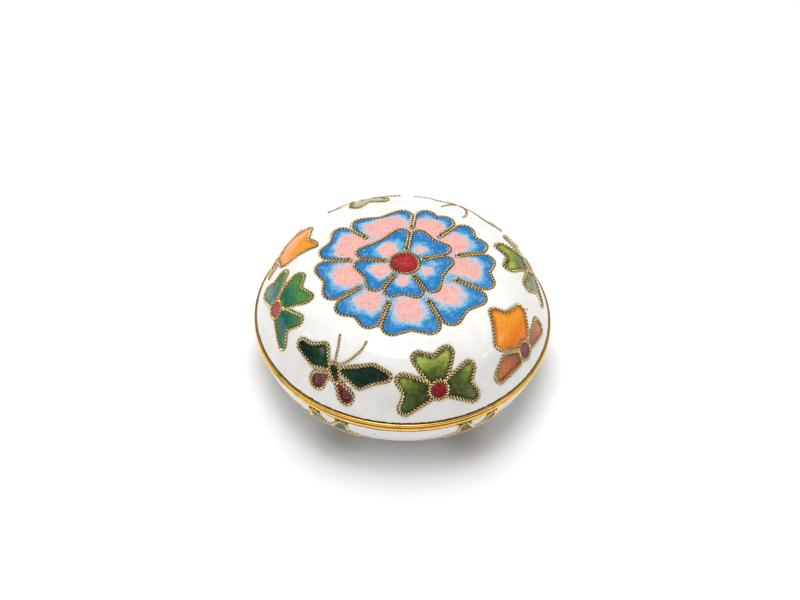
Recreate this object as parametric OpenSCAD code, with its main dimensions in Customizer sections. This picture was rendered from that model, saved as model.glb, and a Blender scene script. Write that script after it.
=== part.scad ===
// Cloisonne pill box: a low round box with a domed lift-off lid.
// Two copper shells carry glass enamel, cell by cell, between soldered brass wires.
// Brass bands close both mouths, and a thin collar in the base centres the lid.
// Origin: centre of the foot ring's resting face.

/* [Box] */
// Outer diameter over the rim bands
box_d = 50; // [46:1:56]
// Height of the seam between base and lid
seam_z = 11; // [10.5:0.5:13]
// Radius of the nearly flat top of the lid
cap_r = 82; // [76:1:86]
// Radius of the lid's rounded shoulder
shoulder_r = 9.5; // [9:0.25:10]
// Radius of the lid's slightly bowed flank
flank_r = 60; // [50:5:80]
// Angle between the axis and the surface normal at the top of the flank
flank_angle = 62.8; // [62:0.2:64]
// Radius of the base's rounded wall
bowl_r = 9.2; // [8.8:0.1:9.4]

/* [Metal] */
// Thickness of the copper shells
shell_t = 0.6; // [0.5:0.05:0.7]
// Height of the lid's rim band
lid_rim_h = 0.5; // [0.4:0.1:0.7]
// Height of the base's rim band
base_rim_h = 1.1; // [0.9:0.1:1.4]
// How far the collar stands above the seam
collar_rise = 1.8; // [1.2:0.1:2.2]
// Gap all round between the collar and the lid
lid_clearance = 0.2; // [0.15:0.05:0.3]
// Outer diameter of the foot ring
foot_d = 27; // [25:0.5:28]

/* [Enamel] */
// Thickness of the outer enamel
enamel_t = 0.6; // [0.5:0.05:0.7]
// Thickness of the enamel that lines the inside
lining_t = 0.3; // [0.2:0.05:0.4]
// Width of the wires between the enamel cells
wire_w = 0.6; // [0.5:0.05:0.65]
// How far the wires stand proud of the enamel
wire_rise = 0.2; // [0.1:0.05:0.3]

/* [Hidden] */
$fn = 64;
// Unit vector at an angle from the axis, in a section
function direction(a) = [sin(a), cos(a)];

rim_r = box_d / 2;
unit = box_d / 50;
half_wire = wire_w / 2;
band_bead = 0.3;
rim_inner_r = 22.4 * unit;
collar_t = 0.6;
collar_r = rim_inner_r - lid_clearance;
collar_drop = 2.2;

// Lid section, measured up from the seam. A bowed flank leaves the rim band at mouth_r, the
// shoulder arc follows it, and the cap arc closes the top round a small flat of radius cap_x.
// The surface turns by a small crease where one arc meets the next.
crease = 2.5;
mouth_r = rim_r - band_bead;
shoulder_x = 13.8 * unit;
low_turn = direction(flank_angle - crease);
flank_x = shoulder_x + shoulder_r * low_turn.x - flank_r * sin(flank_angle);
flank_y = lid_rim_h - sqrt(pow(flank_r, 2) - pow(mouth_r - flank_x, 2));
shoulder_y = flank_y + flank_r * cos(flank_angle) - shoulder_r * low_turn.y;
high_angle = 13;
high_turn = direction(high_angle);
cap_x = shoulder_x + shoulder_r * high_turn.x - cap_r * sin(high_angle - crease);
cap_y = shoulder_y + shoulder_r * high_turn.y - cap_r * cos(high_angle - crease);
dome_h = cap_y + cap_r;
// How far short of the shoulder arc's ends the straight-sided areas under the dome stop
cap_margin = 0.5;
flank_margin = 0.8;

// Base section, measured down from the seam
bowl_x = mouth_r - bowl_r;
bowl_y = -0.3;
floor_y = bowl_y - bowl_r;
foot_t = 1.2;

// Plane in which the motifs round the lid and round the base are drawn
lid_ring_tilt = 50;
lid_ring_r = shoulder_x + shoulder_r * sin(lid_ring_tilt);
lid_ring_z = seam_z + shoulder_y + shoulder_r * cos(lid_ring_tilt);
base_ring_tilt = 128;
base_ring_r = bowl_x + bowl_r * sin(base_ring_tilt);
base_ring_z = seam_z + bowl_y + bowl_r * cos(base_ring_tilt);
stamp_depth = 7;
stamp_height = 2;

// A cell's outline is a closed run of stops [x, y, r], counter-clockwise. The outline bends
// round a circle of radius r at each stop, and r = 0 is a sharp notch.

// Two-lobed leaf that points along +X from a flower's centre: reach of its lobe centres,
// half the distance between them, lobe radius, and reach of the notch between them
function leaf(reach, spread, lobe, notch) = [
    [1.2, -0.8, 0.5],
    [reach, -spread, lobe],
    [notch, 0, 0],
    [reach, spread, lobe],
    [1.2, 0.8, 0.5]
];

// Flowers: a round centre and petals, drawn about the centre
flower_centre = [[0, 0, 1.55]];
green_leaves = [for (a = [4, 92, 179]) turned(leaf(5.5, 2.3, 1.1, 5.6), a)];
teal_leaves = [
    turned(leaf(5.6, 2.4, 1.0, 5.45), 7),
    turned(leaf(5.5, 2.3, 1.1, 5.6), 92),
    turned(leaf(5.6, 2.4, 1.0, 5.45), 173)
];
small_leaves = [for (a = [30, 150, 270]) turned(leaf(3.9, 1.7, 0.85, 3.9), a)];
orange_main = [[
    [1.7, 1.5, 0.5],
    [3.3, 5.2, 1.25],
    [1.0, 7.15, 0],
    [-0.6, 8.05, 1.0],
    [-3.7, 4.6, 1.35],
    [-1.2, 1.7, 0.5]
]];
orange_sides = [
    [[1.8, -0.4, 0.5], [6.2, -0.3, 1.1], [5.8, 1.0, 1.0], [1.9, 0.5, 0.5]],
    [[-1.9, 0.7, 0.5], [-4.6, 1.5, 1.1], [-6.5, 0.3, 1.3], [-2.0, -0.7, 0.5]]
];
orange_petals = concat(orange_main, orange_sides);
// Side petals of the flower that has a close neighbour
short_sides = [
    orange_sides[0],
    [[-1.9, 0.7, 0.5], [-3.9, 1.4, 0.9], [-4.4, 0.4, 0.9], [-2.0, -0.7, 0.5]]
];
left_orange_petals = concat(orange_main, short_sides);

// Butterfly, drawn about its body
butterfly_body = [[[0.1, -1.2, 0.9], [1.0, -2.7, 0.6]]];
butterfly_upper_wings = [
    [[1.5, -1.0, 0.5], [4.8, -1.8, 0.9], [7.0, -0.9, 0], [8.3, 0.9, 0.8], [6.2, 1.0, 1.0]],
    [[-1.2, -1.4, 0.5], [-2.8, 1.0, 0.9], [-4.9, 0.9, 0], [-6.7, -0.1, 1.0], [-3.8, -1.5, 0.9]]
];
butterfly_lower_wings = [
    [[1.5, -3.2, 0.5], [3.3, -4.7, 1.3]],
    [[-0.8, -2.8, 0.5], [-2.1, -4.2, 1.4]]
];
// Each antenna bends once, from the head to its tip
butterfly_antennae = [
    [[-0.1, -0.4], [-0.5, 1.8], [-1.3, 4.2]],
    [[0.6, -0.3], [2.7, 2.2], [3.2, 4.9]]
];
antenna_w = 0.45;

// Places of the motifs: [azimuth, rise along the slope, 1 or -1 for mirrored]
front_butterfly_at = [-119.5, 0, 1];
back_butterfly_at = [65, 0.9, -1];
front_green_at = [-74, -2.6, 1];
right_green_at = [15, -1.2, 1];
back_green_at = [112, -1.6, 1];
left_teal_at = [-163, -1.2, 1];
right_orange_at = [-29, -3.8, 1];
left_orange_at = [160.5, -3.0, -1];
base_flowers_at = [for (i = [0:5]) [-118 + 60 * i, 0.2, 1]];

// Rosette on the cap: azimuths of the creases between its petals, going round once,
// and the reach of each petal
outer_creases = [-142, -105, -63, -20, 17, 51, 84, 138, 177];
outer_reach = [15.0, 15.3, 15.0, 15.0, 14.9, 14.3, 13.6, 14.4, 14.7];
inner_creases = [-120, -60, 20, 84, 174];
inner_reach = [7.8, 8.0, 8.6, 8.4, 8.3];
outer_core_r = 9.3;
inner_core_r = 3.5;
centre_ring_r = 2.45;
outer_lobe_r = 1.7;
inner_lobe_r = 1.25;
// Radius of a petal's corners at its root, inside the core
root_r = 0.5;
// How far the roots lie inside the core
root_depth = 1;
// Gap left between a petal's side and the crease, as a share of the wire's width
crease_gap = 0.45;
// Distance of a petal's notch beyond its lobe centres, as a share of the lobe radius
notch_share = 0.55;

// ---- Outlines -------------------------------------------------------------------------

function flat(s) = [s.x, s.y];
function turned(stops, a) = [
    for (s = stops) [s.x * cos(a) - s.y * sin(a), s.x * sin(a) + s.y * cos(a), s.z]
];

// Share of a corner's radius at which the straight runs end
tuck = 0.995;

// Unit normal, on the outer side, of the straight run between two stops
function outward(a, b) =
    let (along = flat(b) - flat(a), span = norm(along), lean = (a.z - b.z) / span)
    [
        along.x / span * lean + along.y / span * sqrt(1 - lean * lean),
        along.y / span * lean - along.x / span * sqrt(1 - lean * lean)
    ];

// Points of the outline at one stop, moved outward by grow. At a round corner they lie just
// inside the circle, so that the straight runs cross its arc instead of grazing it.
function corner(s, n_in, n_out, grow) =
    s.z > 0
    ? [flat(s) + tuck * (s.z + grow) * n_in, flat(s) + tuck * (s.z + grow) * n_out]
    : [flat(s) + grow * (n_in + n_out) / (1 + n_in * n_out)];

module cell(stops, grow) {
    count = len(stops);
    if (count > 1)
        polygon([
            for (i = [0:count - 1])
                each corner(
                    stops[i],
                    outward(stops[(i + count - 1) % count], stops[i]),
                    outward(stops[i], stops[(i + 1) % count]),
                    grow
                )
        ]);
    for (s = stops)
        if (s.z > 0)
            translate(flat(s))
                circle(s.z + grow);
}

module cells(outlines, grow) {
    for (stops = outlines)
        cell(stops, grow);
}

// A band one wire wide along each outline
module bands(outlines) {
    for (stops = outlines)
        difference() {
            cell(stops, half_wire);
            cell(stops, -half_wire);
        }
}

// Stops of one rosette petal between creases at azimuths a and b. Its sides run beside the
// creases, so the two wires of neighbouring petals lie side by side.
function petal(a, b, core, reach, lobe) =
    let (
        half = (b - a) / 2,
        side = crease_gap * wire_w / unit,
        lobe_at = reach - lobe,
        lean = asin((lobe + side) / lobe_at),
        root_at = core - root_depth,
        root_lean = asin((root_r + side) / root_at)
    )
    turned([
        [root_at * cos(half - root_lean), -root_at * sin(half - root_lean), root_r],
        [lobe_at * cos(half - lean), -lobe_at * sin(half - lean), lobe],
        [lobe_at * cos(half - lean) + notch_share * lobe, 0, 0],
        [lobe_at * cos(half - lean), lobe_at * sin(half - lean), lobe],
        [root_at * cos(half - root_lean), root_at * sin(half - root_lean), root_r]
    ], (a + b) / 2);

function ring_petals(creases, reach, core, lobe) = [
    for (i = [0:len(creases) - 1])
        let (
            a = creases[i],
            b = i + 1 < len(creases) ? creases[i + 1] : creases[0] + 360
        )
        petal(a, b, core, reach[i], lobe)
];

outer_petals = ring_petals(outer_creases, outer_reach, outer_core_r, outer_lobe_r);
inner_petals = ring_petals(inner_creases, inner_reach, inner_core_r, inner_lobe_r);

// Whole ring of petals about its round core
module rosette(petals, core, grow) {
    circle(core + grow);
    cells(petals, grow);
}

// ---- Sections and layers ----------------------------------------------------------------

// Right half of the area above the line y = bottom
module above(bottom) {
    translate([0, bottom])
        square([box_d, 2 * cap_r]);
}

// Everything under the lid's enamel surface sunk by inset: the area that lies inside the
// cap arc and inside the flank arc, with its corner rounded by the shoulder arc
module dome_section(inset) {
    top = cap_y + cap_r - inset;
    intersection() {
        union() {
            translate([cap_x, cap_y])
                circle(cap_r - inset, $fn = 256);
            square([cap_x, top]);
        }
        translate([flank_x, flank_y])
            circle(flank_r - inset, $fn = 256);
        union() {
            translate([0, lid_rim_h])
                square([shoulder_x + shoulder_r * high_turn.x - cap_margin, top]);
            translate([0, lid_rim_h])
                square([rim_r, shoulder_y + shoulder_r * low_turn.y - flank_margin - lid_rim_h]);
            intersection() {
                translate([shoulder_x, shoulder_y])
                    circle(shoulder_r - inset);
                above(lid_rim_h);
            }
        }
    }
}

// Layer of the lid between two depths under its enamel surface
module lid_layer(outer, inner) {
    translate([0, 0, seam_z])
        rotate_extrude()
            difference() {
                dome_section(outer);
                dome_section(inner);
            }
}

// Everything inside the base's enamel surface sunk by inset
module bowl_section(inset) {
    radius = bowl_r - inset;
    translate([0, bowl_y - radius])
        square([bowl_x, radius - bowl_y - base_rim_h]);
    intersection() {
        translate([bowl_x, bowl_y])
            circle(radius);
        translate([bowl_x, bowl_y - 2 * radius])
            square([2 * radius, 2 * radius - bowl_y - base_rim_h]);
    }
}

// Layer of the base between two depths under its enamel surface
module base_layer(outer, inner) {
    translate([0, 0, seam_z])
        rotate_extrude()
            difference() {
                bowl_section(outer);
                bowl_section(inner);
            }
}

// ---- Placing ------------------------------------------------------------------------------

// Draws in a plane that touches a shell, with x along the rim and y up the slope
module in_plane(at, radius, height, tilt) {
    rotate([0, 0, at[0]])
        translate([radius, 0, height])
            rotate([0, tilt, 0])
                rotate([0, 0, 90])
                    translate([0, at[1], -stamp_depth])
                        linear_extrude(stamp_depth + stamp_height)
                            scale(unit)
                                mirror([at[2] < 0 ? 1 : 0, 0])
                                    children();
}

module on_lid(at) {
    in_plane(at, lid_ring_r, lid_ring_z, lid_ring_tilt)
        children();
}

module on_base(at) {
    in_plane(at, base_ring_r, base_ring_z, base_ring_tilt)
        children();
}

module on_top() {
    translate([0, 0, seam_z + dome_h - stamp_depth])
        linear_extrude(stamp_depth + stamp_height)
            scale(unit)
                children();
}

// ---- Metal --------------------------------------------------------------------------------

module base_shell() {
    color("peru")
        base_layer(enamel_t, enamel_t + shell_t);
}

module base_rim() {
    color("goldenrod")
        translate([0, 0, seam_z - base_rim_h])
            rotate_extrude()
                band_section(base_rim_h, collar_r);
}

module base_collar() {
    color("goldenrod")
        translate([0, 0, seam_z - collar_drop])
            rotate_extrude()
                translate([collar_r - collar_t, 0])
                    square([collar_t, collar_drop + collar_rise]);
}

// Flat band with a rounded outer edge
module band_section(height, inner_r) {
    edge = height / 2;
    translate([inner_r, 0])
        square([rim_r - edge - inner_r, height]);
    translate([rim_r - edge, edge])
        circle(edge);
}

module foot_ring() {
    top = seam_z + floor_y + enamel_t;
    outer_r = foot_d / 2;
    color("goldenrod")
        rotate_extrude()
            polygon([[outer_r - foot_t, 0], [outer_r, 0], [outer_r - 0.3, top], [outer_r - foot_t, top]]);
}

module lid_shell() {
    color("peru")
        lid_layer(enamel_t, enamel_t + shell_t);
}

module lid_rim() {
    color("goldenrod")
        translate([0, 0, seam_z])
            rotate_extrude()
                band_section(lid_rim_h, rim_inner_r);
}

// ---- Enamel -------------------------------------------------------------------------------

module lid_enamel() {
    intersection() {
        lid_layer(0, enamel_t);
        children();
    }
}

module base_enamel() {
    intersection() {
        base_layer(0, enamel_t);
        children();
    }
}

module lid_lining_enamel() {
    color("lightskyblue")
        lid_layer(enamel_t + shell_t, enamel_t + shell_t + lining_t);
}

module base_lining_enamel() {
    color("lightskyblue")
        difference() {
            base_layer(enamel_t + shell_t, enamel_t + shell_t + lining_t);
            translate([0, 0, seam_z - collar_drop])
                cylinder(h = collar_drop, r = rim_r);
        }
}

module base_underside_enamel() {
    color("lightskyblue")
        translate([0, 0, seam_z + floor_y + enamel_t - lining_t])
            cylinder(h = lining_t, r = foot_d / 2 - foot_t);
}

module base_field_enamel() {
    color("white")
        difference() {
            base_layer(0, enamel_t);
            cylinder(h = seam_z, r = foot_d / 2);
            for (at = base_flowers_at)
                on_base(at)
                    flower(small_leaves, half_wire);
        }
}

module lid_field_enamel() {
    color("white")
        difference() {
            lid_layer(0, enamel_t);
            on_top()
                rosette(outer_petals, outer_core_r, half_wire);
            for (at = [front_butterfly_at, back_butterfly_at])
                on_lid(at) {
                    butterfly(half_wire);
                    antennae();
                }
            for (at = [front_green_at, right_green_at, back_green_at])
                on_lid(at)
                    flower(green_leaves, half_wire);
            on_lid(left_teal_at)
                flower(teal_leaves, half_wire);
            on_lid(right_orange_at)
                flower(orange_petals, half_wire);
            on_lid(left_orange_at)
                flower(left_orange_petals, half_wire);
        }
}

// ---- Motifs -------------------------------------------------------------------------------

// Whole outline of a flower: its petals and its centre
module flower(petals, grow) {
    cells(petals, grow);
    cell(flower_centre, grow);
}

// Whole outline of a butterfly, without its antennae
module butterfly(grow) {
    cells(butterfly_upper_wings, grow);
    cells(butterfly_lower_wings, grow);
    cells(butterfly_body, grow);
}

module antennae() {
    for (points = butterfly_antennae)
        for (i = [0:len(points) - 2])
            cell([
                [points[i].x, points[i].y, antenna_w / 2],
                [points[i + 1].x, points[i + 1].y, antenna_w / 2]
            ], 0);
}

// The enamel of a petal stops at the wire round the flower's centre
module petal_fill(petals) {
    difference() {
        cells(petals, -half_wire);
        cell(flower_centre, half_wire);
    }
}

module upper_wing_fill() {
    difference() {
        cells(butterfly_upper_wings, -half_wire);
        cells(butterfly_body, half_wire);
    }
}

module lower_wing_fill() {
    difference() {
        cells(butterfly_lower_wings, -half_wire);
        cells(butterfly_upper_wings, half_wire);
        cells(butterfly_body, half_wire);
    }
}

// Brass wires stand on the shell and rise a little above the enamel
module lid_wires() {
    color("gold")
        intersection() {
            lid_layer(-wire_rise, enamel_t);
            children();
        }
}

module base_wires() {
    color("gold")
        intersection() {
            base_layer(-wire_rise, enamel_t);
            children();
        }
}

module flower_wires(petals) {
    difference() {
        flower(petals, half_wire);
        petal_fill(petals);
        cell(flower_centre, -half_wire);
    }
}

module lid_flower_wires(at, petals) {
    lid_wires()
        on_lid(at)
            flower_wires(petals);
}

module lid_petals(at, petals, paint) {
    color(paint)
        lid_enamel()
            on_lid(at)
                petal_fill(petals);
}

module lid_flower_centre(at, paint) {
    color(paint)
        lid_enamel()
            on_lid(at)
                cell(flower_centre, -half_wire);
}

module butterfly_wires(at) {
    lid_wires()
        on_lid(at)
            difference() {
                butterfly(half_wire);
                upper_wing_fill();
                lower_wing_fill();
                cells(butterfly_body, -half_wire);
            }
}

module butterfly_antennae(at) {
    lid_wires()
        on_lid(at)
            difference() {
                antennae();
                butterfly(half_wire);
            }
}

module butterfly_body(at) {
    color("darkslategray")
        lid_enamel()
            on_lid(at)
                cells(butterfly_body, -half_wire);
}

module butterfly_upper_wings(at) {
    color("darkgreen")
        lid_enamel()
            on_lid(at)
                upper_wing_fill();
}

module butterfly_lower_wings(at) {
    color("darkred")
        lid_enamel()
            on_lid(at)
                lower_wing_fill();
}

module base_flower_wires(i) {
    base_wires()
        on_base(base_flowers_at[i])
            flower_wires(small_leaves);
}

// Leaves of every second flower round the base, from flower number first
module base_leaves(first, paint) {
    color(paint)
        base_enamel()
            for (i = [first:2:5])
                on_base(base_flowers_at[i])
                    petal_fill(small_leaves);
}

module base_flower_centres() {
    color("firebrick")
        base_enamel()
            for (at = base_flowers_at)
                on_base(at)
                    cell(flower_centre, -half_wire);
}

module rosette_outer_wires() {
    lid_wires()
        on_top()
            difference() {
                rosette(outer_petals, outer_core_r, half_wire);
                rosette(outer_petals, outer_core_r, -half_wire);
            }
}

module rosette_inner_wires() {
    lid_wires()
        on_top()
            difference() {
                rosette(inner_petals, inner_core_r, half_wire);
                rosette(inner_petals, inner_core_r, -half_wire);
            }
}

module rosette_centre_ring() {
    lid_wires()
        on_top()
            difference() {
                circle(centre_ring_r + half_wire);
                circle(centre_ring_r - half_wire);
            }
}

module rosette_outer_enamel() {
    color("dodgerblue")
        lid_enamel()
            on_top()
                difference() {
                    rosette(outer_petals, outer_core_r, -half_wire);
                    rosette(inner_petals, inner_core_r, half_wire);
                }
}

module rosette_inner_enamel() {
    color("steelblue")
        lid_enamel()
            on_top()
                difference() {
                    rosette(inner_petals, inner_core_r, -half_wire);
                    circle(centre_ring_r + half_wire);
                }
}

module rosette_centre_enamel() {
    color("crimson")
        lid_enamel()
            on_top()
                circle(centre_ring_r - half_wire);
}

// ---- Assembly -----------------------------------------------------------------------------

base_shell();
base_rim();
base_collar();
foot_ring();
base_field_enamel();
base_lining_enamel();
base_underside_enamel();
base_flower_wires(0);  // base_flower_1_wires
base_flower_wires(1);  // base_flower_2_wires
base_flower_wires(2);  // base_flower_3_wires
base_flower_wires(3);  // base_flower_4_wires
base_flower_wires(4);  // base_flower_5_wires
base_flower_wires(5);  // base_flower_6_wires
base_leaves(0, "teal");  // base_teal_leaves
base_leaves(1, "olivedrab");  // base_green_leaves
base_flower_centres();
lid_shell();
lid_rim();
lid_field_enamel();
lid_lining_enamel();
rosette_outer_wires();
rosette_inner_wires();
rosette_centre_ring();
rosette_outer_enamel();
rosette_inner_enamel();
rosette_centre_enamel();
butterfly_wires(front_butterfly_at);  // front_butterfly_wires
butterfly_antennae(front_butterfly_at);  // front_butterfly_antennae
butterfly_body(front_butterfly_at);  // front_butterfly_body
butterfly_upper_wings(front_butterfly_at);  // front_butterfly_upper_wings
butterfly_lower_wings(front_butterfly_at);  // front_butterfly_lower_wings
butterfly_wires(back_butterfly_at);  // back_butterfly_wires
butterfly_antennae(back_butterfly_at);  // back_butterfly_antennae
butterfly_body(back_butterfly_at);  // back_butterfly_body
butterfly_upper_wings(back_butterfly_at);  // back_butterfly_upper_wings
butterfly_lower_wings(back_butterfly_at);  // back_butterfly_lower_wings
lid_flower_wires(front_green_at, green_leaves);  // front_green_wires
lid_petals(front_green_at, green_leaves, "olivedrab");  // front_green_leaves
lid_flower_centre(front_green_at, "firebrick");  // front_green_centre
lid_flower_wires(right_green_at, green_leaves);  // right_green_wires
lid_petals(right_green_at, green_leaves, "yellowgreen");  // right_green_leaves
lid_flower_centre(right_green_at, "indianred");  // right_green_centre
lid_flower_wires(back_green_at, green_leaves);  // back_green_wires
lid_petals(back_green_at, green_leaves, "yellowgreen");  // back_green_leaves
lid_flower_centre(back_green_at, "firebrick");  // back_green_centre
lid_flower_wires(left_teal_at, teal_leaves);  // left_teal_wires
lid_petals(left_teal_at, teal_leaves, "seagreen");  // left_teal_leaves
lid_flower_centre(left_teal_at, "firebrick");  // left_teal_centre
lid_flower_wires(right_orange_at, orange_petals);  // right_orange_wires
lid_petals(right_orange_at, orange_main, "darkorange");  // right_orange_petal
lid_petals(right_orange_at, orange_sides, "sienna");  // right_orange_side_petals
lid_flower_centre(right_orange_at, "maroon");  // right_orange_centre
lid_flower_wires(left_orange_at, left_orange_petals);  // left_orange_wires
lid_petals(left_orange_at, orange_main, "darkorange");  // left_orange_petal
lid_petals(left_orange_at, short_sides, "sienna");  // left_orange_side_petals
lid_flower_centre(left_orange_at, "maroon");  // left_orange_centre
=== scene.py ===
"""Cloisonne pill box: glass enamel cells between twisted gilt wires, laid over the CAD frame."""

import math

import bpy
import numpy as np
from mathutils import Matrix, Vector, noise
from mathutils.geometry import delaunay_2d_cdt
from mathutils.kdtree import KDTree


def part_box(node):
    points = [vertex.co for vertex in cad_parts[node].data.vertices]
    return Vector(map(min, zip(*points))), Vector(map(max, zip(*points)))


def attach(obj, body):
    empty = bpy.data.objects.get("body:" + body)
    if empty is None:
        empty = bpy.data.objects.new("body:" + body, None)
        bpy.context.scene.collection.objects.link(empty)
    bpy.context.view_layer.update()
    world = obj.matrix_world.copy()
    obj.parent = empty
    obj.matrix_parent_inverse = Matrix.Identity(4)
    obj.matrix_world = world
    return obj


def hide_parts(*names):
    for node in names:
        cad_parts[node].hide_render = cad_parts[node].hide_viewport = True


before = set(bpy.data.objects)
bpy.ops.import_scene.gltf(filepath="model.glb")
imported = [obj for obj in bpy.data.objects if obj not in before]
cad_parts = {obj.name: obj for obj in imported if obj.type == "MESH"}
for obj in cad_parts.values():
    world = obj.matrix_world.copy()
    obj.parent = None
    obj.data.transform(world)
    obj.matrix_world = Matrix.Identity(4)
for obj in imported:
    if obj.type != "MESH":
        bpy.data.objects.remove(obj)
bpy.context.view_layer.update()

# ---- Measures, in millimetres, taken from the frame ----

MM = 0.001


def low(node, axis):
    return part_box(node)[0][axis] / MM


def high(node, axis):
    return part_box(node)[1][axis] / MM


RIM_R = high("lid_rim", 0)
SEAM = low("lid_rim", 2)
LID_RIM_H = high("lid_rim", 2) - SEAM
BASE_RIM_H = SEAM - low("base_rim", 2)
COLLAR_R = high("base_collar", 0)
COLLAR_LOW = low("base_collar", 2)
COLLAR_TOP = high("base_collar", 2)
FOOT_R = high("foot_ring", 0)
FOOT_TOP = high("foot_ring", 2)
UNDERSIDE_LOW = low("base_underside_enamel", 2)
UNDERSIDE_R = high("base_underside_enamel", 0)
UNIT = RIM_R / 25

ENAMEL_T = 0.6
SHELL_T = 0.6
LINING_T = 0.3
COLLAR_T = 0.6
LID_CLEARANCE = 0.2
BAND_BEAD = 0.3
HALF_WIRE = 0.3
WIRE_RISE = 0.2
# The glass runs in under the round wires, to this distance from their middle
GLASS_GAP = 0.23

# ---- Outer surfaces of the lid and the base ----

CREASE = math.radians(2.5)
MOUTH_R = RIM_R - BAND_BEAD
CAP_R = 82.0
SHOULDER_R = 9.5
SHOULDER_X = 13.8 * UNIT
FLANK_R = 60.0
FLANK_ANGLE = math.radians(62.8)
LOW_ANGLE = FLANK_ANGLE - CREASE
HIGH_ANGLE = math.radians(13)
FLANK_X = SHOULDER_X + SHOULDER_R * math.sin(LOW_ANGLE) - FLANK_R * math.sin(FLANK_ANGLE)
FLANK_Y = LID_RIM_H - math.sqrt(FLANK_R**2 - (MOUTH_R - FLANK_X) ** 2)
SHOULDER_Y = FLANK_Y + FLANK_R * math.cos(FLANK_ANGLE) - SHOULDER_R * math.cos(LOW_ANGLE)
CAP_X = SHOULDER_X + SHOULDER_R * math.sin(HIGH_ANGLE) - CAP_R * math.sin(HIGH_ANGLE - CREASE)
CAP_Y = SHOULDER_Y + SHOULDER_R * math.cos(HIGH_ANGLE) - CAP_R * math.cos(HIGH_ANGLE - CREASE)
DOME_H = CAP_Y + CAP_R

BOWL_R = 9.2
BOWL_X = MOUTH_R - BOWL_R
BOWL_Y = -0.3

LID_RING_TILT = math.radians(50)
BASE_RING_TILT = math.radians(128)
STAMP_DEPTH = 7.0
STAMP_HEIGHT = 2.0


def lid_height(r):
    """Height of the lid's enamel at radius r: the cap, the shoulder and the flank meet in turn."""
    cap = CAP_Y + np.sqrt(CAP_R**2 - np.maximum(r - CAP_X, 0) ** 2)
    shoulder = SHOULDER_Y + np.sqrt(np.maximum(SHOULDER_R**2 - (r - SHOULDER_X) ** 2, 0))
    flank = FLANK_Y + np.sqrt(FLANK_R**2 - (r - FLANK_X) ** 2)
    high_r = SHOULDER_X + SHOULDER_R * math.sin(HIGH_ANGLE)
    low_r = SHOULDER_X + SHOULDER_R * math.sin(LOW_ANGLE)
    return SEAM + np.where(r < high_r, cap, np.where(r < low_r, shoulder, flank))


def base_height(r):
    """Height of the base's enamel at radius r: a flat floor and a rounded wall."""
    inward = np.maximum(r - BOWL_X, 0)
    wall = BOWL_Y - np.sqrt(np.maximum(BOWL_R**2 - inward**2, 0))
    return SEAM + np.where(inward < BOWL_R, wall, STAMP_DEPTH)


class Surface:
    """Surface of revolution that knows its points and normals by arc length and azimuth."""

    SAMPLES = 20001
    STEP = 0.02
    SOFTENING = 25

    def __init__(self, height, first_r, last_r, out):
        r = np.linspace(first_r, last_r, self.SAMPLES)
        z = height(r)
        run = np.concatenate([[0], np.cumsum(np.hypot(np.diff(r), np.diff(z)))])
        count = int(run[-1] / self.STEP)
        self.start = first_r
        self.length = run[-1]
        self.s = np.linspace(0, self.length, count)
        self.r = self.softened(np.interp(self.s, run, r), -1 if first_r == 0 else 0)
        self.z = self.softened(np.interp(self.s, run, z), 1 if first_r == 0 else 0)
        along_r = np.gradient(self.r, self.s)
        along_z = np.gradient(self.z, self.s)
        self.normal_r = -out * along_z
        self.normal_z = out * along_r
        self.height = height
        self.out = out

    def softened(self, values, pole):
        """The values with their creases smoothed out; pole mirrors them about the axis."""
        width = 3 * self.SOFTENING
        before = values[width:0:-1]
        before = pole * before if pole else 2 * values[0] - before
        after = 2 * values[-1] - values[-2 : -width - 2 : -1]
        padded = np.concatenate([before, values, after])
        x = np.arange(-width, width + 1) / self.SOFTENING
        kernel = np.exp(-0.5 * x**2)
        return np.convolve(padded, kernel / kernel.sum(), "valid")

    def at(self, s, azimuth, rise):
        """Points at arc length s and azimuth, moved outward by rise."""
        r = np.interp(s, self.s, self.r) + rise * np.interp(s, self.s, self.normal_r)
        z = np.interp(s, self.s, self.z) + rise * np.interp(s, self.s, self.normal_z)
        return np.column_stack([r * np.cos(azimuth), r * np.sin(azimuth), z])

    def place(self, points):
        """Arc lengths and azimuths of points on the surface."""
        r = np.hypot(points[:, 0], points[:, 1])
        return np.interp(r, self.r, self.s), np.arctan2(points[:, 1], points[:, 0])

    def unroll(self, points):
        """The points of the surface in a flat chart that keeps distances along the slope."""
        s, azimuth = self.place(points)
        reach = self.start + s
        return np.column_stack([reach * np.cos(azimuth), reach * np.sin(azimuth)])

    def roll(self, chart, rise):
        reach = np.hypot(chart[:, 0], chart[:, 1])
        azimuth = np.arctan2(chart[:, 1], chart[:, 0])
        return self.at(np.clip(reach - self.start, 0, self.length), azimuth, rise)

    def outside(self, points):
        r = np.hypot(points[:, 0], points[:, 1])
        return self.out * (points[:, 2] - self.height(r)) > 0


LID = Surface(lid_height, 0.0, MOUTH_R, 1)
BASE = Surface(base_height, FOOT_R, BOWL_X + math.sqrt(BOWL_R**2 - (BASE_RIM_H + BOWL_Y) ** 2), -1)


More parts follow.
